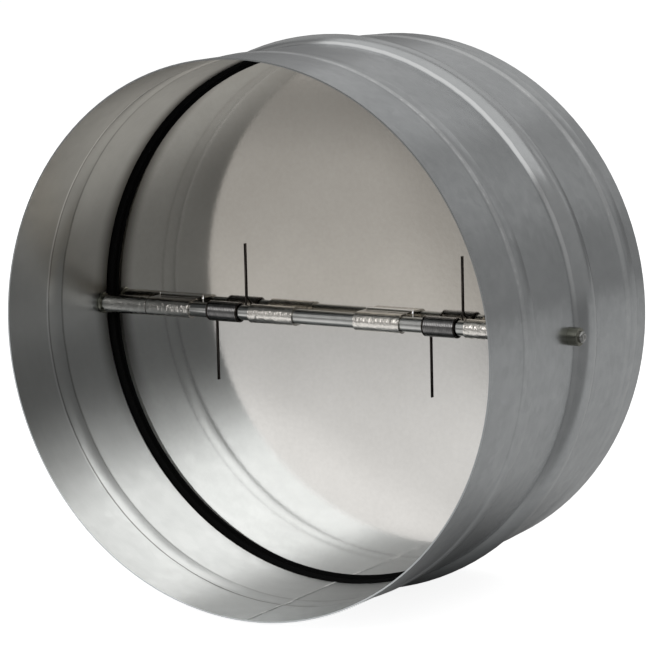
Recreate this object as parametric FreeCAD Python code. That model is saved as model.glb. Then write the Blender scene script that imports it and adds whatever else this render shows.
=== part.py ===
"""Backdraft damper for a round duct: a beaded sheet steel casing, two spring-closed half blades and a rubber seal.

Millimetres. The duct's axis is Y, the spindle runs along X and +Z is up. The origin is the centre of the outlet rim,
and air leaves towards -Y. Each piece is one solid in its own STEP file.
"""
import math
import os

import FreeCAD
import Part

Vector = FreeCAD.Vector

# casing
casing_diameter = 249.0
casing_length = 149.0
casing_sheet = 0.7
front_bead_from_outlet = 35.3
rear_bead_from_inlet = 14.5
stop_bead_width = 12.0
stop_bead_height = 0.5
seal_bead_width = 22.0
seal_bead_height = 3.95
weld_width = 1.4
weld_height = 0.2

# spindle, journals and bushes
spindle_from_outlet = 74.4
spindle_diameter = 7.0
journal_diameter = 5.2
journal_past_bush = 1.8
journal_dome = 1.0
dimple_diameter = 2.0
dimple_depth = 0.4
shoulder_gap = 0.1
bush_wall = 1.45
bush_past_casing = 4.7
bush_flange_rim = 0.8
bush_flange_thickness = 1.2
bush_corner = 0.4
bore_clearance = 0.03
seal_bead_behind_spindle = 2.45

# blades and the knuckles rolled from their tabs
blade_sheet = 0.8
blade_rim_clearance = 2.8
blade_ahead_of_bead_centre = 4.49
blade_split = 1.2
knuckle_clearance = 0.08
knuckle_share = 0.195
inner_knuckle_share = 0.135
knuckle_end_gap = 0.4
knuckle_bend_radius = 1.0
knuckle_roll_angle = 250.0
tab_slot = 0.5
tongue_gap = 0.4
tongue_short_of_lip = 3.0

# rubber seal
seal_fit = 0.05
seal_width_share = 0.64
seal_above_casing = 0.9
seal_crown_share = 0.4
seal_bevel = 0.5
closing_gap = 0.1
lip_reach = 4.0
lip_thickness = 2.6
lip_tip_thickness = 1.0

# torsion springs
wire_diameter = 1.0
coil_turns = 16
coil_turn_gap = 0.03
coil_clearance = 0.2
left_coil_gap = 5.9
right_coil_gap = 4.2
upper_leg_height = 31.0
lower_leg_height = 34.2
leg_knee_height = 9.0
leg_shift = -2.3
leg_gap = 0.05

casing_radius = casing_diameter / 2
casing_bore_radius = casing_radius - casing_sheet
spindle_radius = spindle_diameter / 2
journal_radius = journal_diameter / 2
bush_bore_radius = journal_radius + bore_clearance
bush_radius = bush_bore_radius + bush_wall
casing_hole_radius = bush_radius + bore_clearance

# the front foot of the seal's bead runs through the bush's hole, and the blades close on the seal inside the bead
seal_bead_centre = spindle_from_outlet + seal_bead_behind_spindle + seal_bead_width / 2
front_bead_centre = front_bead_from_outlet
rear_bead_centre = casing_length - rear_bead_from_inlet
beads = [
    (front_bead_centre, stop_bead_width, stop_bead_height),
    (seal_bead_centre, seal_bead_width, seal_bead_height),
    (rear_bead_centre, stop_bead_width, stop_bead_height),
]
blade_front = seal_bead_centre - blade_ahead_of_bead_centre
blade_back = blade_front + blade_sheet
blade_radius = casing_bore_radius - blade_rim_clearance
knuckle_bore_radius = spindle_radius + knuckle_clearance
knuckle_radius = knuckle_bore_radius + blade_sheet
knuckle_width = knuckle_share * blade_radius
coil_bore_radius = spindle_radius + coil_clearance
coil_radius = coil_bore_radius + wire_diameter
coil_length = coil_turns * (wire_diameter + coil_turn_gap) + wire_diameter


def edges_through(points):
    """Straight edges from each point to the next."""
    return [Part.makeLine(start, end) for start, end in zip(points, points[1:])]


def arc(start, middle, end):
    """Edge of the circle through three points."""
    return Part.Arc(start, middle, end).toShape()


def closed_face(edges):
    """Face inside a chain of edges given in order, closed by a straight edge where it is open."""
    first = edges[0].Vertexes[0].Point
    last = edges[-1].Vertexes[-1].Point
    if first.distanceToPoint(last) > 1e-6:
        edges = edges + [Part.makeLine(last, first)]
    return Part.Face(Part.Wire(edges))


def turned(face, axis, angle=360.0):
    """Solid turned from a face about an axis through the origin."""
    return face.revolve(Vector(0, 0, 0), axis, angle)


def moved(shape, x, y, z):
    """The shape carried by one step along the axes."""
    shape = shape.copy()
    shape.translate(Vector(x, y, z))
    return shape


def rolled_bead(centre, width, height, inset):
    """Arc of a rolled bead, seen at a depth below the sheet's outer face: arc radius, arc centre and half width."""
    arc_radius = (width * width / 4 + height * height) / (2 * height)
    arc_centre = casing_radius + height - arc_radius
    inset_radius = arc_radius - inset
    half_width = math.sqrt(inset_radius ** 2 - (casing_radius - inset - arc_centre) ** 2)
    return inset_radius, arc_centre, half_width


def sheet_edges(inset):
    """Line of the casing's sheet from outlet to inlet, with its beads, at a depth below the outer face."""
    wall = casing_radius - inset
    edges = []
    here = Vector(wall, 0, 0)
    for centre, width, height in beads:
        arc_radius, arc_centre, half_width = rolled_bead(centre, width, height, inset)
        foot = Vector(wall, centre - half_width, 0)
        top = Vector(arc_centre + arc_radius, centre, 0)
        far_foot = Vector(wall, centre + half_width, 0)
        edges.append(Part.makeLine(here, foot))
        edges.append(arc(foot, top, far_foot))
        here = far_foot
    edges.append(Part.makeLine(here, Vector(wall, casing_length, 0)))
    return edges


def sheet_face(outer_inset, inner_inset):
    """Section of the sheet between two depths."""
    outer = sheet_edges(outer_inset)
    inner = sheet_edges(inner_inset)
    ends = [
        Part.makeLine(outer[-1].Vertexes[-1].Point, inner[-1].Vertexes[-1].Point),
        Part.makeLine(inner[0].Vertexes[0].Point, outer[0].Vertexes[0].Point),
    ]
    return Part.Face(Part.Wire(outer + [ends[0]] + inner[::-1] + [ends[1]]))


def to_bottom(shape, angle):
    """Turned about the duct's axis so that the middle of the shape's own angle comes to the bottom."""
    shape = shape.copy()
    shape.rotate(Vector(0, 0, 0), Vector(0, 1, 0), 90.0 - angle / 2)
    return shape


def weld_seam(clearance):
    """Low weld ridge along the bottom, where the two edges of the casing's sheet meet."""
    width = weld_width + 2 * clearance
    angle = math.degrees(width / casing_bore_radius)
    ridge = turned(sheet_face(casing_sheet, casing_sheet + weld_height + clearance), Vector(0, 1, 0), angle)
    return to_bottom(ridge, angle)


def make_casing():
    """Tube of one rolled sheet with two stop beads, the seal's bead and a round hole at each end of the spindle."""
    tube = to_bottom(turned(sheet_face(0.0, casing_sheet), Vector(0, 1, 0)), 0.0)
    tube = tube.fuse(weld_seam(0.0)).removeSplitter()
    reach = casing_diameter + 2 * seal_bead_height
    drill = Part.makeCylinder(casing_hole_radius, reach, Vector(-reach / 2, spindle_from_outlet, 0), Vector(1, 0, 0))
    return tube.cut(drill)


def make_seal():
    """Rubber ring seated in the middle bead, with a lip behind the blades that their rims close on."""
    arc_radius, arc_centre, half_width = rolled_bead(0.0, seal_bead_width, seal_bead_height, casing_sheet)
    seat_radius = arc_radius - seal_fit
    half_seal = half_width * seal_width_share
    half_crown = half_width * seal_crown_share
    side = arc_centre + math.sqrt(seat_radius ** 2 - half_seal ** 2)
    crown = arc_centre + math.sqrt(seat_radius ** 2 - half_crown ** 2)
    front = seal_bead_centre - half_seal
    back = seal_bead_centre + half_seal
    ring = casing_bore_radius - seal_above_casing
    lip_front = blade_back + closing_gap
    lip_tip = blade_radius - lip_reach
    section = edges_through([
        Vector(side, front, 0),
        Vector(ring, front + seal_bevel, 0),
        Vector(ring, lip_front, 0),
        Vector(lip_tip, lip_front, 0),
        Vector(lip_tip, lip_front + lip_tip_thickness, 0),
        Vector(ring, lip_front + lip_thickness, 0),
        Vector(ring, back - seal_bevel, 0),
        Vector(side, back, 0),
        Vector(crown, seal_bead_centre + half_crown, 0),
        Vector(crown, seal_bead_centre - half_crown, 0),
    ])
    ring_solid = turned(closed_face(section), Vector(0, 1, 0))
    return to_bottom(ring_solid, 0.0).cut(weld_seam(seal_fit))


def knuckle_profile():
    """Section across one knuckle of the upper blade, about the spindle's axis: down from the blade, then round it.

    The first number is the distance behind the spindle, the second the height above it.
    """
    inner = knuckle_bore_radius
    outer = knuckle_radius
    bend_inner = knuckle_bend_radius
    bend_outer = bend_inner + blade_sheet
    front = blade_front - spindle_from_outlet
    back = front + blade_sheet
    bend_y = front - bend_inner
    bend_z = outer + bend_inner
    diagonal = math.sqrt(0.5)
    roll = math.radians(90.0 + knuckle_roll_angle)
    half_roll = math.radians(90.0 + knuckle_roll_angle / 2)

    def point(y, z):
        return Vector(0, y, z)

    def round_point(radius, angle):
        return Vector(0, radius * math.cos(angle), radius * math.sin(angle))

    edges = [arc(
        point(back, bend_z),
        point(bend_y + bend_outer * diagonal, bend_z - bend_outer * diagonal),
        point(bend_y, inner),
    )]
    edges.append(Part.makeLine(point(bend_y, inner), point(0, inner)))
    edges.append(arc(point(0, inner), round_point(inner, half_roll), round_point(inner, roll)))
    edges.append(Part.makeLine(round_point(inner, roll), round_point(outer, roll)))
    edges.append(arc(round_point(outer, roll), round_point(outer, half_roll), point(0, outer)))
    edges.append(Part.makeLine(point(0, outer), point(bend_y, outer)))
    edges.append(arc(
        point(bend_y, outer),
        point(bend_y + bend_inner * diagonal, bend_z - bend_inner * diagonal),
        point(front, bend_z),
    ))
    return closed_face(edges), bend_z


def knuckle_starts():
    """Start of each knuckle of the upper blade along the spindle. The lower blade's mirror them."""
    end_start = blade_radius - knuckle_end_gap - knuckle_width
    return [knuckle_end_gap - end_start, inner_knuckle_share * blade_radius, end_start]


def tongue_boxes(tab_top):
    """Tongues of the upper blade's straight edge, which close the slots over the lower blade's tabs."""
    bend_outer = knuckle_bend_radius + blade_sheet
    reach = tab_top - math.sqrt((bend_outer + tongue_gap) ** 2 - knuckle_bend_radius ** 2)
    limit = blade_radius - lip_reach - tongue_short_of_lip
    tongues = []
    for start in knuckle_starts():
        left = max(-start - knuckle_width, -limit)
        right = min(-start, limit)
        tongues.append(Part.makeBox(
            right - left, blade_sheet, reach + blade_split,
            Vector(left, blade_front, -reach),
        ))
    return tongues


def make_upper_blade():
    """Half disc of flat sheet with three tabs rolled round the spindle, and a tongue over each of the other's tabs."""
    disc = Part.makeCylinder(blade_radius, blade_sheet, Vector(0, blade_front, 0), Vector(0, 1, 0))
    below = Part.makeBox(
        2 * casing_diameter, 2 * casing_length, casing_diameter,
        Vector(-casing_diameter, -casing_length / 2, blade_split / 2 - casing_diameter),
    )
    blade = disc.cut(below)
    profile, tab_top = knuckle_profile()
    for start in knuckle_starts():
        slot = Part.makeBox(
            knuckle_width + 2 * tab_slot, 4 * blade_sheet, tab_top,
            Vector(start - tab_slot, blade_front - 1.5 * blade_sheet, 0),
        )
        blade = blade.cut(slot)
    blade = blade.fuse(tongue_boxes(tab_top))
    for start in knuckle_starts():
        knuckle = moved(profile.extrude(Vector(knuckle_width, 0, 0)), start, spindle_from_outlet, 0)
        blade = blade.fuse(knuckle)
    return blade.removeSplitter()


def make_lower_blade():
    """The same blade, half a turn round the duct's axis."""
    blade = make_upper_blade()
    blade.rotate(Vector(0, 0, 0), Vector(0, 1, 0), 180.0)
    return blade


def bush_ends():
    """Along the spindle from its middle: the flange's inner face, its seat on the casing and the bush's outer end."""
    flange_radius = bush_radius + bush_flange_rim
    seat = math.sqrt(casing_bore_radius ** 2 - flange_radius ** 2) - bore_clearance
    return seat - bush_flange_thickness, seat, casing_radius + bush_past_casing


def spindle_edges():
    """Outline of one half of the spindle, from its middle out to the dimpled dome of the journal."""
    flange, seat, bush_end = bush_ends()
    shoulder = flange - shoulder_gap
    tip = bush_end + journal_past_bush
    dome_start = tip - journal_dome
    dimple = dimple_diameter / 2
    slope = math.sqrt(0.5)
    edges = edges_through([
        Vector(0, spindle_radius, 0),
        Vector(shoulder, spindle_radius, 0),
        Vector(shoulder, journal_radius, 0),
        Vector(dome_start, journal_radius, 0),
    ])
    crown = journal_radius - dimple
    edges.append(arc(
        Vector(dome_start, journal_radius, 0),
        Vector(dome_start + journal_dome * slope, dimple + crown * slope, 0),
        Vector(tip, dimple, 0),
    ))
    edges += edges_through([
        Vector(tip, dimple, 0),
        Vector(tip - dimple_depth, dimple / 2, 0),
        Vector(tip - dimple_depth, 0, 0),
        Vector(0, 0, 0),
    ])
    return edges


def make_spindle():
    """Steel rod through both bushes, with a stepped journal and a domed, dimpled tip at each end."""
    half = turned(closed_face(spindle_edges()), Vector(1, 0, 0))
    other = half.mirror(Vector(0, 0, 0), Vector(1, 0, 0))
    return moved(half.fuse(other).removeSplitter(), 0, spindle_from_outlet, 0)


def make_right_bush():
    """Flanged sleeve pushed through the casing from inside, with its corners broken."""
    flange, seat, end = bush_ends()
    flange_radius = bush_radius + bush_flange_rim
    edges = edges_through([
        Vector(flange, bush_bore_radius, 0),
        Vector(flange, flange_radius - bush_corner, 0),
        Vector(flange + bush_corner, flange_radius, 0),
        Vector(seat, flange_radius, 0),
        Vector(seat, bush_radius, 0),
        Vector(end - bush_corner, bush_radius, 0),
        Vector(end, bush_radius - bush_corner, 0),
        Vector(end, bush_bore_radius, 0),
    ])
    return moved(turned(closed_face(edges), Vector(1, 0, 0)), 0, spindle_from_outlet, 0)


def spring_leg(side, height):
    """Wire leg above or below: off the coil's wire circle to a knee at the blade's face, then flat along the blade."""
    wire_circle = (coil_bore_radius + coil_radius) / 2
    lie_y = blade_front - spindle_from_outlet - wire_diameter / 2 - leg_gap
    reach = math.hypot(lie_y, leg_knee_height)
    angle = math.atan2(leg_knee_height, lie_y) - math.acos(wire_circle / reach)
    start_x = side * (coil_length - wire_diameter) / 2
    start = Vector(start_x, wire_circle * math.cos(angle), side * wire_circle * math.sin(angle))
    knee = Vector(start_x + leg_shift, lie_y, side * leg_knee_height)
    tip = Vector(knee.x, lie_y, side * height)
    wire_radius = wire_diameter / 2
    root = Part.makeCylinder(wire_radius, (knee - start).Length, start, knee - start)
    bend = Part.makeSphere(wire_radius, knee)
    flat = Part.makeCylinder(wire_radius, (tip - knee).Length, knee, tip - knee)
    return root.fuse([bend, flat])


def make_spring(coil_centre):
    """Torsion spring round the spindle: close-wound coil as a sleeve, and two legs that press on the blades."""
    coil = Part.makeCylinder(coil_radius, coil_length, Vector(-coil_length / 2, 0, 0), Vector(1, 0, 0))
    bore = Part.makeCylinder(coil_bore_radius, 2 * coil_length, Vector(-coil_length, 0, 0), Vector(1, 0, 0))
    spring = coil.fuse([spring_leg(1, upper_leg_height), spring_leg(-1, lower_leg_height)]).cut(bore)
    return moved(spring, coil_centre, spindle_from_outlet, 0)


def coil_centres():
    """Middle of the left and of the right coil, each a gap short of the knuckle on its right."""
    first, middle, last = knuckle_starts()
    half = coil_length / 2
    left_knuckle = -middle - knuckle_width
    right_knuckle = -first - knuckle_width
    return left_knuckle - left_coil_gap - half, right_knuckle - right_coil_gap - half


right_bush = make_right_bush()
left_coil, right_coil = coil_centres()
pieces = {
    "casing": make_casing(),
    "seal_ring": make_seal(),
    "upper_blade": make_upper_blade(),
    "lower_blade": make_lower_blade(),
    "spindle": make_spindle(),
    "right_bush": right_bush,
    "left_bush": right_bush.mirror(Vector(0, 0, 0), Vector(1, 0, 0)),
    "left_spring": make_spring(left_coil),
    "right_spring": make_spring(right_coil),
}

os.makedirs("parts", exist_ok=True)
for name, shape in pieces.items():
    solids = shape.Solids
    if len(solids) != 1 or not shape.isValid():
        raise ValueError(name + " is not one valid solid")
    solids[0].exportStep("parts/" + name + ".step")
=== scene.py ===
"""Looks of the backdraft damper: materials, wound springs, light, floor and camera, in metres."""
import math

import bpy
from mathutils import Matrix, Vector


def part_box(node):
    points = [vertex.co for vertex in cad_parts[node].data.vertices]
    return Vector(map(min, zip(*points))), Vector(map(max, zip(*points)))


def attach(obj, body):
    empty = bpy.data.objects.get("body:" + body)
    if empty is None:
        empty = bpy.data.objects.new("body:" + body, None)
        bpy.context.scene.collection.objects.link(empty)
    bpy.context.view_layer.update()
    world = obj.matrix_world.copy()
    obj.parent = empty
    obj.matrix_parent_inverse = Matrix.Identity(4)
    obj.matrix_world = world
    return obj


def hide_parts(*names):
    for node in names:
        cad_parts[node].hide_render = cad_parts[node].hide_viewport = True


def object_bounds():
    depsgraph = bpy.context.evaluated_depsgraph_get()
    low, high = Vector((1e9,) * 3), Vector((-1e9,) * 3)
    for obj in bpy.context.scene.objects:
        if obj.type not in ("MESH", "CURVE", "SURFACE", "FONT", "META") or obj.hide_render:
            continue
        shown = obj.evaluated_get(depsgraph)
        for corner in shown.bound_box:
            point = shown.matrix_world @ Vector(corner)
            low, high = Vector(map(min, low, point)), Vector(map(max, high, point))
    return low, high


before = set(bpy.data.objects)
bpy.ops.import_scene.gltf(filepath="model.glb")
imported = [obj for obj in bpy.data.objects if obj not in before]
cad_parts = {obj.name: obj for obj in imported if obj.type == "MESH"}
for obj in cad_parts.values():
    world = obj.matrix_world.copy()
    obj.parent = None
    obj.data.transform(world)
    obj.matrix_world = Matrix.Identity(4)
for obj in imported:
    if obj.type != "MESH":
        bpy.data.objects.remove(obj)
cad_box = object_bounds()

# sizes of the real piece
SPINDLE_Y = 0.0744
WIRE_RADIUS = 0.00043
WIRE_SIDES = 10
COIL_TURNS = 19
COIL_LENGTH = 0.01748
STEPS_PER_TURN = 28
KNEE_HEIGHT = 0.0056
KNEE_ROUNDING = 0.001
KNEE_STEPS = 6

# camera, fitted to the photograph; angles in radians
IMAGE_PIXELS = 650
FOCAL_PIXELS = 3222.16
SENSOR_MM = 36.0
NEAR_CLIP = 0.05
FAR_CLIP = 50.0
AZIMUTH = 0.5738
ELEVATION = 0.1655
DISTANCE = 1.40422
TARGET_X_PIXELS = -87.254
TARGET_Y_PIXELS = 16.316
ROLL = -0.0237

# lamps that face the object: name, azimuth and elevation in degrees, width, height and power in watts
LAMP_DISTANCE = 2.0
LAMPS = (
    ("key", -1, 30, 1.4, 0.9, 8.0),
    ("right", 118, 20, 3.2, 1.4, 1.6),
    ("front_fill", 0, 37, 2.8, 1.4, 6.6),
    ("top", 90, 82, 3.2, 3.4, 15.0),
    ("low_front_left", -30, 9, 1.5, 0.75, 1.0),
    ("back", 200, 31, 1.8, 1.2, 1.0),
    ("back_right", 178, 29, 1.8, 1.3, 1.25),
)

# strength of the world's light on the object, and of the floor's own light to the camera
ROOM_LIGHT = 0.18
FLOOR_GLOW = 0.88
FLOOR_HALF_SIZE = 6.0
FLOOR_PAINT = (0.8, 0.8, 0.8)
FLOOR_PAINT_TO_METAL = (0.45, 0.45, 0.45)

# middle range of a cloudy number, over which a colour or a roughness goes from one end to the other
CLOUD_LOW = 0.35
CLOUD_HIGH = 0.65

# colours of the zinc-coated sheet, and of the light and shade painted on it
ZINC_DARK = (0.46, 0.475, 0.48)
ZINC_LIGHT = (0.55, 0.565, 0.57)
# painted highlight on the beads' front flanks
BEAD_HIGHLIGHT_ZINC = (0.94, 0.95, 0.95)
BORE_ZINC = (0.60, 0.63, 0.64)
# painted shade high up in the bore and near the outlet
BORE_SHADE_ZINC = (0.2, 0.2, 0.195)
# painted highlight on the bore's crease at the front bead
CREASE_HIGHLIGHT_ZINC = (0.78, 0.8, 0.82)
# painted shade in the bore's creases
GROOVE_SHADE_GREY = (0.12, 0.12, 0.12)
# painted highlight on the weld
WELD_HIGHLIGHT_GREY = (0.95, 0.96, 0.96)
# painted shadow and reflection of the seal
SEAL_SHADE_GREY = (0.11, 0.11, 0.105)

# lines round the casing wander by this much along the duct
LINE_WANDER = 0.0012

# painted highlight at the front flank of each bead, from the outlet
BEAD_HIGHLIGHT_LINES = (0.0314, 0.0782, 0.1304)
BEAD_HIGHLIGHT_HALF_WIDTH = 0.0003
BEAD_HIGHLIGHT_SOFT_EDGE = 0.0008

# wider painted highlight bands outside, each with its centre, half width, soft edge and share
BEAD_HIGHLIGHT_BANDS = (
    (0.0781, 0.0004, 0.0010, 1.0),
    (0.0832, 0.0028, 0.0045, 0.3),
    (0.0318, 0.0008, 0.0016, 0.45),
    (0.1308, 0.0010, 0.0018, 0.6),
)

# heights between which the bore's low part, with its other painted crease highlight and shade and the weld,
# fades out
LOW_BORE_FULL = -0.085
LOW_BORE_END = -0.035

# painted highlight on the crease in the bore at the front bead's foot
CREASE_HIGHLIGHT_LINE = 0.0296
CREASE_HIGHLIGHT_HALF_WIDTH = 0.0003
CREASE_HIGHLIGHT_SOFT_EDGE = 0.0006

# painted shade in the creases of the bore at the front bead, each with its place, share and what the low part
# adds to the share
BORE_GROOVE_SHADES = ((0.0309, 0.6, 0.3), (0.0413, 0.5, -0.25))
GROOVE_SHADE_HALF_WIDTH = 0.0002
GROOVE_SHADE_SOFT_EDGE = 0.0008

# weld along the bottom of the bore
WELD_HALF_WIDTH = 0.0005
WELD_SOFT_EDGE = 0.0006

# painted shadow and reflection of the black seal on the bore before it: from where to where along the duct, and
# the heights where it fades in
SEAL_SHADE_START, SEAL_SHADE_FULL = 0.066, 0.0785
SEAL_SHADE_NONE_HEIGHT, SEAL_SHADE_FULL_HEIGHT = -0.075, -0.005

# colours of the blades' sheet, dark and light, which reads warmer in the upper half
UPPER_SHEET = (0.64, 0.60, 0.54), (0.695, 0.655, 0.595)
LOWER_SHEET = (0.62, 0.605, 0.58), (0.67, 0.655, 0.63)
HALVES_BLEND = 0.01

# distance from the spindle's axis within which the blades' rolled sheet is creased, and where the creases end
CREASED_RADIUS = 0.0050
SMOOTH_RADIUS = 0.0062

RUBBER_DARK = (0.002, 0.002, 0.002)
RUBBER_LIGHT = (0.005, 0.005, 0.005)

# how strongly a coil's shading follows the sleeve round the spindle, per metre from its axis
SLEEVE_NORMAL = 700.0


def new_material(name):
    """Empty node material with its shader: material, node tree and principled shader."""
    material = bpy.data.materials.new(name)
    material.use_nodes = True
    tree = material.node_tree
    return material, tree, tree.nodes["Principled BSDF"]


def add(tree, kind, **settings):
    """One node with its settings."""
    node = tree.nodes.new(kind)
    for key, value in settings.items():
        setattr(node, key, value)
    return node


def plug(tree, socket, value):
    """Link an output to a socket, or set the socket to a number."""
    if isinstance(value, (int, float)):
        socket.default_value = value
    else:
        tree.links.new(value, socket)


def maths(tree, operation, first, second=0.0, third=0.0):
    """Result of one sum on numbers or outputs."""
    node = add(tree, "ShaderNodeMath", operation=operation)
    plug(tree, node.inputs[0], first)
    plug(tree, node.inputs[1], second)
    plug(tree, node.inputs[2], third)
    return node.outputs[0]


def times(tree, first, *others):
    """Product of two or more numbers or outputs."""
    result = first
    for other in others:
        result = maths(tree, "MULTIPLY", result, other)
    return result


def plus(tree, first, second):
    """Sum of two numbers or outputs."""
    return maths(tree, "ADD", first, second)


def minus(tree, first, second):
    """First number less the second."""
    return maths(tree, "SUBTRACT", first, second)


def scaled_plus(tree, number, factor, offset):
    """Number times a factor, plus an offset."""
    return maths(tree, "MULTIPLY_ADD", number, factor, offset)


def mixed(tree, parts):
    """Sum of numbers, each times its share."""
    total = None
    for number, share in parts:
        part = times(tree, number, share)
        total = part if total is None else plus(tree, total, part)
    return total


def any_of(tree, values):
    """Largest of several numbers."""
    result = values[0]
    for value in values[1:]:
        result = maths(tree, "MAXIMUM", result, value)
    return result


def vector_of(tree, **parts):
    """Vector with these parts, and zero for the others."""
    node = add(tree, "ShaderNodeCombineXYZ")
    for axis, part in parts.items():
        tree.links.new(part, node.inputs[axis])
    return node.outputs[0]


def noise(tree, vector, scale, detail=4.0, roughness=0.55, stretch=(1, 1, 1)):
    """Cloudy number around a half, scale in repeats per metre, in a space that can be stretched."""
    mapping = add(tree, "ShaderNodeMapping")
    mapping.inputs["Scale"].default_value = stretch
    tree.links.new(vector, mapping.inputs["Vector"])
    node = add(tree, "ShaderNodeTexNoise")
    node.inputs["Scale"].default_value = scale
    node.inputs["Detail"].default_value = detail
    node.inputs["Roughness"].default_value = roughness
    tree.links.new(mapping.outputs["Vector"], node.inputs["Vector"])
    return node.outputs["Fac"]


def remap(tree, value, from_low, from_high, to_low, to_high, smooth=True):
    """Number moved from one range to another and kept inside it."""
    node = add(tree, "ShaderNodeMapRange")
    if smooth:
        node.interpolation_type = "SMOOTHSTEP"
    ends = {"From Min": from_low, "From Max": from_high, "To Min": to_low, "To Max": to_high}
    for name, number in ends.items():
        node.inputs[name].default_value = number
    tree.links.new(value, node.inputs["Value"])
    return node.outputs["Result"]


def spread(tree, cloud, low=0.0, high=1.0):
    """Number from low to high as a cloudy number goes through its middle range."""
    return remap(tree, cloud, CLOUD_LOW, CLOUD_HIGH, low, high, smooth=False)


def blend(tree, share, first, second):
    """Colour between two colours or colour outputs."""
    node = add(tree, "ShaderNodeMix", data_type="RGBA")
    tree.links.new(share, node.inputs["Factor"])
    for socket, colour in ((node.inputs["A"], first), (node.inputs["B"], second)):
        if isinstance(colour, tuple):
            socket.default_value = (*colour, 1.0)
        else:
            tree.links.new(colour, socket)
    return node.outputs["Result"]


def relief(tree, height, distance, strength=1.0, under=None):
    """Normal of a fine relief, on top of another relief if one is given."""
    node = add(tree, "ShaderNodeBump")
    node.inputs["Strength"].default_value = strength
    node.inputs["Distance"].default_value = distance
    tree.links.new(height, node.inputs["Height"])
    if under is not None:
        tree.links.new(under, node.inputs["Normal"])
    return node.outputs["Normal"]


def stripe(tree, along, centre, half_width, soft):
    """One inside a stripe and zero beyond it, with soft edges."""
    off = maths(tree, "ABSOLUTE", minus(tree, along, centre))
    return remap(tree, off, half_width, half_width + soft, 1.0, 0.0)


def coordinates(tree):
    """Place on the object, and its parts along the three axes."""
    place = add(tree, "ShaderNodeTexCoord").outputs["Object"]
    split = add(tree, "ShaderNodeSeparateXYZ")
    tree.links.new(place, split.inputs[0])
    return place, split.outputs


def distance_from(tree, place, centre):
    """Distance of a place from a point."""
    away = add(tree, "ShaderNodeVectorMath", operation="DISTANCE")
    tree.links.new(place, away.inputs[0])
    away.inputs[1].default_value = centre
    return away.outputs["Value"]


def outward_share(tree, axes):
    """One on surfaces that face away from the duct's axis, and zero on those that face it."""
    facing = add(tree, "ShaderNodeVectorMath", operation="DOT_PRODUCT")
    tree.links.new(vector_of(tree, X=axes["X"], Z=axes["Z"]), facing.inputs[0])
    tree.links.new(add(tree, "ShaderNodeTexCoord").outputs["Normal"], facing.inputs[1])
    return maths(tree, "GREATER_THAN", facing.outputs["Value"], 0.0)


def sheet_tone(tree, place):
    """Clouds, mottling, fine rings from rolling and a faint spangle, as one cloudy number."""
    cloud = noise(tree, place, 22.0, 5.0)
    mottle = noise(tree, place, 140.0, 3.0)
    rings = noise(tree, place, 1.0, 4.0, 0.6, (2.0, 700.0, 2.0))
    spangle = add(tree, "ShaderNodeTexVoronoi")
    spangle.inputs["Scale"].default_value = 260.0
    tree.links.new(place, spangle.inputs["Vector"])
    cells = add(tree, "ShaderNodeSeparateColor")
    tree.links.new(spangle.outputs["Color"], cells.inputs["Color"])
    return mixed(tree, ((cloud, 0.45), (mottle, 0.3), (rings, 0.15), (cells.outputs[0], 0.1)))


def bead_highlight_share(tree, place, axes, along, outside):
    """Share of painted highlight on the beads: patchy lines and wider bands, fainter low down."""
    lines = any_of(tree, [stripe(tree, along, centre, BEAD_HIGHLIGHT_HALF_WIDTH, BEAD_HIGHLIGHT_SOFT_EDGE)
                          for centre in BEAD_HIGHLIGHT_LINES])
    patches = remap(tree, noise(tree, place, 260.0, 4.0, 0.7), 0.4, 0.62, 0.35, 1.0, smooth=False)
    lines = times(tree, lines, patches, scaled_plus(tree, outside, 0.6, 0.4))
    bands = [times(tree, stripe(tree, along, centre, half_width, soft), share)
             for centre, half_width, soft, share in BEAD_HIGHLIGHT_BANDS]
    bead_highlight = any_of(tree, [lines, times(tree, any_of(tree, bands), outside)])
    return times(tree, bead_highlight, remap(tree, axes["Z"], -0.02, 0.09, 0.14, 1.0))


def bore_colour(tree, colour, axes, along, inside, low):
    """Colour of the bore: cooler zinc, painted shade high up and near the outlet, and painted highlight and
    shade at the front bead's creases.
    """
    colour = blend(tree, times(tree, inside, 0.6), colour, BORE_ZINC)
    # painted shade: darker high up in the bore and towards the outlet
    bore_shade = times(tree, inside, remap(tree, axes["Z"], -0.03, 0.07, 0.0, 0.52))
    bore_shade = times(tree, bore_shade, remap(tree, axes["Y"], 0.0, 0.05, 1.35, 0.7, smooth=False))
    colour = blend(tree, bore_shade, colour, BORE_SHADE_ZINC)
    # painted highlight along the crease at the front bead's foot, fainter low down
    crease_highlight = times(tree, stripe(tree, along, CREASE_HIGHLIGHT_LINE, CREASE_HIGHLIGHT_HALF_WIDTH, CREASE_HIGHLIGHT_SOFT_EDGE), inside)
    crease_highlight = times(tree, crease_highlight, scaled_plus(tree, low, -0.55, 0.6))
    colour = blend(tree, crease_highlight, colour, CREASE_HIGHLIGHT_ZINC)
    # painted shade along the creases at the front bead
    for centre, share, low_share in BORE_GROOVE_SHADES:
        groove_shade = times(tree, stripe(tree, along, centre, GROOVE_SHADE_HALF_WIDTH, GROOVE_SHADE_SOFT_EDGE), inside)
        groove_shade = times(tree, groove_shade, scaled_plus(tree, low, low_share, share))
        colour = blend(tree, groove_shade, colour, GROOVE_SHADE_GREY)
    return colour


def weld_share(tree, place, axes, inside, low):
    """Share of the weld in the bore, in broken dashes, painted light as the weld ridge's highlight."""
    line = stripe(tree, axes["X"], 0.0, WELD_HALF_WIDTH, WELD_SOFT_EDGE)
    dashes = remap(tree, noise(tree, place, 75.0, 2.0), 0.49, 0.56, 0.15, 0.9, smooth=False)
    return times(tree, line, times(tree, low, inside), dashes)


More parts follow.
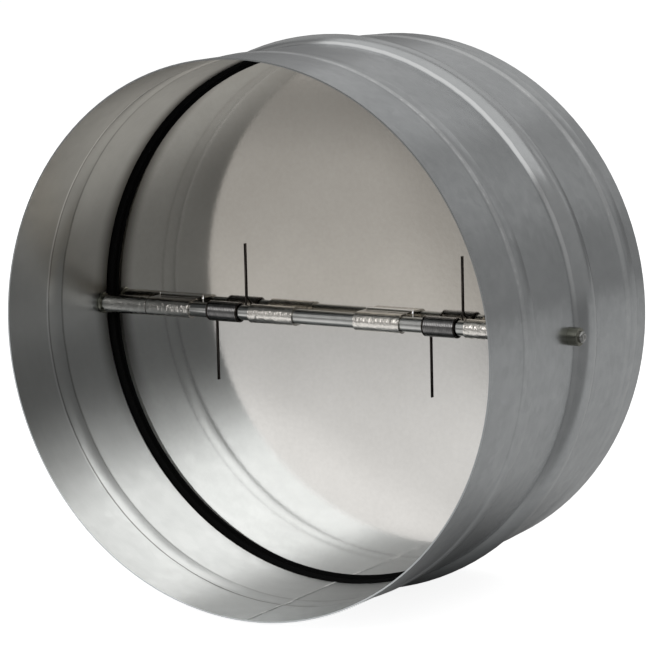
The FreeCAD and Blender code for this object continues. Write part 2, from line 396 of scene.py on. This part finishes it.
def galvanised_sheet(name):
    """Zinc-coated sheet with spangle and rolling marks, painted highlights on the beads and the weld, and in
    the bore painted highlight and shade at the creases, painted shade high up and a painted shadow and
    reflection of the seal.
    """
    material, tree, shader = new_material(name)
    place, axes = coordinates(tree)
    outside = outward_share(tree, axes)
    inside = minus(tree, 1.0, outside)
    low = remap(tree, axes["Z"], LOW_BORE_FULL, LOW_BORE_END, 1.0, 0.0)
    tone = sheet_tone(tree, place)
    wander = times(tree, minus(tree, noise(tree, place, 60.0, 3.0), 0.5), LINE_WANDER)
    along = plus(tree, axes["Y"], wander)
    bead_highlight = bead_highlight_share(tree, place, axes, along, outside)
    weld = weld_share(tree, place, axes, inside, low)
    # painted shadow and reflection of the seal, kept off the bore's bottom
    seal_shade = times(tree, remap(tree, axes["Y"], SEAL_SHADE_START, SEAL_SHADE_FULL, 0.0, 1.0),
                  remap(tree, axes["Z"], SEAL_SHADE_NONE_HEIGHT, SEAL_SHADE_FULL_HEIGHT, 0.0, 1.0), inside)
    colour = blend(tree, spread(tree, tone), ZINC_DARK, ZINC_LIGHT)
    # painted highlight on the beads' front flanks
    colour = blend(tree, bead_highlight, colour, BEAD_HIGHLIGHT_ZINC)
    colour = bore_colour(tree, colour, axes, along, inside, low)
    # painted highlight on the weld's dashes
    colour = blend(tree, weld, colour, WELD_HIGHLIGHT_GREY)
    tree.links.new(blend(tree, seal_shade, colour, SEAL_SHADE_GREY), shader.inputs["Base Color"])
    rough = scaled_plus(tree, outside, -0.07, spread(tree, tone, 0.34, 0.28))
    rough = scaled_plus(tree, weld, 0.3, rough)
    tree.links.new(minus(tree, rough, times(tree, bead_highlight, 0.06)), shader.inputs["Roughness"])
    shader.inputs["Metallic"].default_value = 1.0
    waves = relief(tree, noise(tree, place, 30.0, 2.0), 0.0003, 0.35)
    tree.links.new(relief(tree, tone, 0.00008, 0.25, waves), shader.inputs["Normal"])
    return material


def blade_metal(name):
    """Satin sheet of the blades, nearly a mirror, and creased where the tabs are rolled."""
    material, tree, shader = new_material(name)
    place, axes = coordinates(tree)
    cloud = noise(tree, place, 26.0, 5.0)
    grain = noise(tree, place, 500.0, 4.0, 0.6)
    tone = mixed(tree, ((cloud, 0.6), (grain, 0.4)))
    share = spread(tree, tone)
    upper = remap(tree, axes["Z"], -HALVES_BLEND, HALVES_BLEND, 0.0, 1.0)
    colour = blend(tree, upper, blend(tree, share, *LOWER_SHEET), blend(tree, share, *UPPER_SHEET))
    tree.links.new(colour, shader.inputs["Base Color"])
    tree.links.new(spread(tree, tone, 0.085, 0.065), shader.inputs["Roughness"])
    shader.inputs["Metallic"].default_value = 1.0
    from_spindle = add(tree, "ShaderNodeVectorMath", operation="LENGTH")
    across = vector_of(tree, Y=minus(tree, axes["Y"], SPINDLE_Y), Z=axes["Z"])
    tree.links.new(across, from_spindle.inputs[0])
    rolled = remap(tree, from_spindle.outputs["Value"], CREASED_RADIUS, SMOOTH_RADIUS, 1.0, 0.0)
    creases = times(tree, noise(tree, place, 520.0, 3.0, 0.6), rolled)
    waves = relief(tree, noise(tree, place, 14.0, 1.0), 0.0004, 0.25)
    creased = relief(tree, creases, 0.0006, 0.6, waves)
    tree.links.new(relief(tree, grain, 0.00004, 0.2, creased), shader.inputs["Normal"])
    return material


def drawn_steel(name, dark, light, roughness):
    """Steel rod, sleeve or wire with drawing marks along the spindle."""
    material, tree, shader = new_material(name)
    place, _ = coordinates(tree)
    marks = noise(tree, place, 1.0, 3.0, 0.6, (60.0, 2600.0, 2600.0))
    cloud = noise(tree, place, 180.0, 3.0)
    tone = mixed(tree, ((marks, 0.6), (cloud, 0.4)))
    tree.links.new(blend(tree, spread(tree, tone), dark, light), shader.inputs["Base Color"])
    tree.links.new(spread(tree, tone, roughness + 0.05, roughness - 0.03), shader.inputs["Roughness"])
    shader.inputs["Metallic"].default_value = 1.0
    tree.links.new(relief(tree, marks, 0.00006, 0.25), shader.inputs["Normal"])
    return material


def wound_wire(name, dark, light, roughness):
    """Close-wound wire round the spindle, whose turns blend into one smooth sleeve."""
    material, tree, shader = new_material(name)
    place, axes = coordinates(tree)
    share = spread(tree, noise(tree, place, 400.0, 3.0))
    tree.links.new(blend(tree, share, dark, light), shader.inputs["Base Color"])
    shader.inputs["Roughness"].default_value = roughness
    shader.inputs["Metallic"].default_value = 1.0
    radial_y = times(tree, minus(tree, axes["Y"], SPINDLE_Y), SLEEVE_NORMAL)
    radial_z = times(tree, axes["Z"], SLEEVE_NORMAL)
    both = add(tree, "ShaderNodeVectorMath", operation="ADD")
    tree.links.new(vector_of(tree, Y=radial_y, Z=radial_z), both.inputs[0])
    tree.links.new(add(tree, "ShaderNodeNewGeometry").outputs["Normal"], both.inputs[1])
    smooth = add(tree, "ShaderNodeVectorMath", operation="NORMALIZE")
    tree.links.new(both.outputs[0], smooth.inputs[0])
    tree.links.new(smooth.outputs[0], shader.inputs["Normal"])
    return material


def plain_rubber(name):
    """Matt black rubber."""
    material, tree, shader = new_material(name)
    place, _ = coordinates(tree)
    grain = noise(tree, place, 1500.0, 3.0)
    colour = blend(tree, spread(tree, grain), RUBBER_DARK, RUBBER_LIGHT)
    tree.links.new(colour, shader.inputs["Base Color"])
    tree.links.new(spread(tree, grain, 0.7, 0.85), shader.inputs["Roughness"])
    shader.inputs["Specular IOR Level"].default_value = 0.12
    tree.links.new(relief(tree, grain, 0.0001, 0.3), shader.inputs["Normal"])
    return material


GALVANISED = galvanised_sheet("galvanised_sheet")
BLADE_SHEET = blade_metal("blade_sheet")
BRIGHT_STEEL = drawn_steel("bright_steel", (0.36, 0.36, 0.345), (0.47, 0.47, 0.455), 0.15)
BUSH_STEEL = drawn_steel("bush_steel", (0.17, 0.17, 0.135), (0.28, 0.28, 0.24), 0.3)
# darker copy of the coil's steel: painted shade on the springs' end turns and legs
SHADED_SPRING_STEEL = drawn_steel("spring_steel", (0.035, 0.03, 0.027), (0.07, 0.06, 0.053), 0.3)
COIL_STEEL = wound_wire("coil_steel", (0.145, 0.14, 0.14), (0.21, 0.205, 0.2), 0.2)
SEAL_RUBBER = plain_rubber("seal_rubber")

node_materials = {
    "casing": GALVANISED,
    "upper_blade": BLADE_SHEET,
    "lower_blade": BLADE_SHEET,
    "spindle": BRIGHT_STEEL,
    "left_bush": BUSH_STEEL,
    "right_bush": BUSH_STEEL,
    "seal_ring": SEAL_RUBBER,
}
for node_name, material in node_materials.items():
    for material_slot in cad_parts[node_name].material_slots:
        material_slot.material = material


def put_in_scene(name, data):
    """New object with this data, linked into the scene."""
    thing = bpy.data.objects.new(name, data)
    bpy.context.scene.collection.objects.link(thing)
    return thing


def wire(name, points, body, material):
    """Round wire through the points, closed at its ends, which rides on a body."""
    vertices = []
    faces = []
    across = None
    for index, point in enumerate(points):
        before = points[max(index - 1, 0)]
        after = points[min(index + 1, len(points) - 1)]
        along = (after - before).normalized()
        if across is None:
            across = along.orthogonal().normalized()
        across = (across - along * across.dot(along)).normalized()
        other = along.cross(across)
        for side in range(WIRE_SIDES):
            angle = 2 * math.pi * side / WIRE_SIDES
            vertices.append(point + (across * math.cos(angle) + other * math.sin(angle)) * WIRE_RADIUS)
    for ring in range(len(points) - 1):
        for side in range(WIRE_SIDES):
            near = ring * WIRE_SIDES + side
            next_near = ring * WIRE_SIDES + (side + 1) % WIRE_SIDES
            faces.append((near, next_near, next_near + WIRE_SIDES, near + WIRE_SIDES))
    faces.append(tuple(range(WIRE_SIDES))[::-1])
    faces.append(tuple(range(len(vertices) - WIRE_SIDES, len(vertices))))
    mesh = bpy.data.meshes.new(name)
    mesh.from_pydata([tuple(v) for v in vertices], [], faces)
    mesh.polygons.foreach_set("use_smooth", [len(f) == 4 for f in faces])
    mesh.materials.append(material)
    piece = put_in_scene(name, mesh)
    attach(piece, body)
    return piece


def wind_spring(node):
    """Wound spring in place of a CAD spring: middle turns, and an end turn with a leg on each blade."""
    low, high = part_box(node)
    coil_start = high.x - COIL_LENGTH + WIRE_RADIUS
    coil_end = high.x - WIRE_RADIUS
    wire_circle = SPINDLE_Y - low.y - WIRE_RADIUS
    lie_y = high.y - SPINDLE_Y - WIRE_RADIUS
    leg_shift = low.x + WIRE_RADIUS - coil_start
    reach = math.hypot(lie_y, KNEE_HEIGHT)
    leave = math.atan2(KNEE_HEIGHT, lie_y) - math.acos(wire_circle / reach)
    turn = 2 * math.pi
    first = -leave
    last = turn * COIL_TURNS + leave

    def on_coil(angle):
        """Point of the coil at an angle from its start."""
        share = (angle - first) / (last - first)
        x = coil_start + (coil_end - coil_start) * share
        return Vector((x, SPINDLE_Y + wire_circle * math.cos(angle), wire_circle * math.sin(angle)))

    def turns(start, end):
        """Points of the coil from one angle to another."""
        count = max(2, round((end - start) / turn * STEPS_PER_TURN))
        return [on_coil(start + (end - start) * i / count) for i in range(count + 1)]

    def leg(root, height):
        """Points of a leg from the coil to its tip, with the knee rounded."""
        knee = Vector((root.x + leg_shift, SPINDLE_Y + lie_y, math.copysign(KNEE_HEIGHT, height)))
        tip = Vector((knee.x, knee.y, height))
        before = knee + (root - knee).normalized() * KNEE_ROUNDING
        after = knee + (tip - knee).normalized() * KNEE_ROUNDING
        bend = []
        for i in range(KNEE_STEPS + 1):
            t = i / KNEE_STEPS
            bend.append(before * (1 - t) ** 2 + knee * (2 * t * (1 - t)) + after * t ** 2)
        return bend + [tip]

    lower_end = turns(first, first + turn)
    middle = turns(first + turn, last - turn)
    upper_end = turns(last - turn, last)
    lower_leg = leg(lower_end[0], low.z)[::-1] + lower_end
    upper_leg = upper_end + leg(upper_end[-1], high.z)
    side = node.split("_")[0]
    # the end turns and legs take the darker steel, as painted shade
    pieces = [
        wire(side + "_spring_coil", middle, "housing", COIL_STEEL),
        wire(side + "_spring_lower_leg", lower_leg, "lower_blade", SHADED_SPRING_STEEL),
        wire(side + "_spring_upper_leg", upper_leg, "upper_blade", SHADED_SPRING_STEEL),
    ]
    for piece in pieces:
        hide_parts(node)


for spring_node in ("left_spring", "right_spring"):
    wind_spring(spring_node)


def direction(azimuth, elevation):
    """Unit vector away from the object: azimuth 0 is straight before the outlet, a quarter turn its right."""
    return Vector((
        math.sin(azimuth) * math.cos(elevation),
        -math.cos(azimuth) * math.cos(elevation),
        math.sin(elevation),
    ))


def camera_matrix():
    """Place and turn of the camera, which has the outlet's centre off the middle of its view."""
    back = direction(AZIMUTH, ELEVATION)
    right = Vector((math.cos(AZIMUTH), math.sin(AZIMUTH), 0.0))
    up = back.cross(right)
    forward = -back - right * (TARGET_X_PIXELS / FOCAL_PIXELS) + up * (TARGET_Y_PIXELS / FOCAL_PIXELS)
    forward.normalize()
    level = forward.cross(Vector((0, 0, 1))).normalized()
    upright = level.cross(forward)
    rolled_right = level * math.cos(ROLL) + upright * math.sin(ROLL)
    rolled_up = upright * math.cos(ROLL) - level * math.sin(ROLL)
    turn = Matrix((rolled_right, rolled_up, -forward)).transposed().to_4x4()
    return Matrix.Translation(back * DISTANCE) @ turn


def make_camera():
    """Camera at the photograph's viewing angle."""
    data = bpy.data.cameras.new("camera")
    data.sensor_width = SENSOR_MM
    data.lens = FOCAL_PIXELS / IMAGE_PIXELS * SENSOR_MM
    data.clip_start = NEAR_CLIP
    data.clip_end = FAR_CLIP
    camera = put_in_scene("camera", data)
    camera.matrix_world = camera_matrix()
    bpy.context.scene.camera = camera


def soft_box(name, azimuth, elevation, width, height, power):
    """Rectangular lamp that faces the object from a direction in degrees."""
    back = direction(math.radians(azimuth), math.radians(elevation))
    data = bpy.data.lights.new(name, "AREA")
    data.shape = "RECTANGLE"
    data.size = width
    data.size_y = height
    data.energy = power
    lamp = put_in_scene(name, data)
    lamp.location = Vector((0, SPINDLE_Y, 0)) + back * LAMP_DISTANCE
    lamp.rotation_mode = "QUATERNION"
    lamp.rotation_quaternion = back.to_track_quat("Z", "Y")


def background_level(tree, to_camera, to_gloss):
    """Strength of a background: one level to the camera and another to shiny and clear surfaces."""
    path = add(tree, "ShaderNodeLightPath").outputs
    reflected = maths(tree, "MAXIMUM", path["Is Glossy Ray"], path["Is Transmission Ray"])
    return plus(tree, times(tree, path["Is Camera Ray"], to_camera), times(tree, reflected, to_gloss))


def painted_floor_light_in_metal(tree, low):
    """Level at which metal sees the floor glow: a painted pool of light in front of the outlet, dim beside and
    behind it, with a painted shadow round the casing's foot.
    """
    place, axes = coordinates(tree)
    # painted pool of light in front of the outlet
    from_outlet = distance_from(tree, place, (-0.10, -0.10, low))
    near = remap(tree, from_outlet, 0.05, 0.55, 0.33, 0.0)
    far = remap(tree, from_outlet, 0.40, 1.30, 0.36, 0.16)
    slanting = scaled_plus(tree, axes["Y"], -0.647, axes["X"])
    before = remap(tree, axes["Y"], -0.05, 0.04, 1.0, 0.0)
    left_of_right_side = remap(tree, slanting, 0.06, 0.15, 1.0, 0.1)
    painted_pool_ahead = times(tree, plus(tree, near, far), before, left_of_right_side)
    # painted shadow round the casing's foot: no glow there, rising further off
    from_foot = distance_from(tree, place, (0.03, 0.125, low))
    rearward = scaled_plus(tree, axes["X"], -0.9, axes["Y"])
    off_painted_shadow = remap(tree, from_foot, 0.03, 0.12, 0.0, 0.21)
    glow_round_painted_shadow = times(tree, off_painted_shadow, remap(tree, rearward, -0.08, 0.0, 0.0, 1.0))
    return plus(tree, painted_pool_ahead, glow_round_painted_shadow)


def make_floor():
    """Pale floor under the casing's lowest bead, which keeps the object's shadow."""
    low = cad_box[0].z
    half = FLOOR_HALF_SIZE
    mesh = bpy.data.meshes.new("floor")
    corners = [(-half, -half, low), (half, -half, low), (half, half, low), (-half, half, low)]
    mesh.from_pydata(corners, [], [(0, 1, 2, 3)])
    floor = put_in_scene("floor", mesh)
    material, tree, shader = new_material("floor_paint")
    glossy = add(tree, "ShaderNodeLightPath").outputs["Is Glossy Ray"]
    tree.links.new(blend(tree, glossy, FLOOR_PAINT, FLOOR_PAINT_TO_METAL), shader.inputs["Base Color"])
    shader.inputs["Roughness"].default_value = 0.9
    shader.inputs["Specular IOR Level"].default_value = 0.0
    emission = add(tree, "ShaderNodeEmission")
    level = background_level(tree, FLOOR_GLOW, painted_floor_light_in_metal(tree, low))
    tree.links.new(level, emission.inputs["Strength"])
    both = add(tree, "ShaderNodeAddShader")
    tree.links.new(shader.outputs["BSDF"], both.inputs[0])
    tree.links.new(emission.outputs["Emission"], both.inputs[1])
    tree.links.new(both.outputs[0], tree.nodes["Material Output"].inputs["Surface"])
    mesh.materials.append(material)


def make_world():
    """Soft room light, white to the camera."""
    world = bpy.data.worlds.new("studio")
    bpy.context.scene.world = world
    world.use_nodes = True
    tree = world.node_tree
    background = tree.nodes["Background"]
    level = background_level(tree, 1.0 - ROOM_LIGHT, 0.0)
    tree.links.new(plus(tree, level, ROOM_LIGHT), background.inputs["Strength"])
    background.inputs["Color"].default_value = (1, 1, 1, 1)


make_camera()
make_floor()
make_world()
for lamp_settings in LAMPS:
    soft_box(*lamp_settings)
bpy.context.scene.view_settings.view_transform = "Standard"
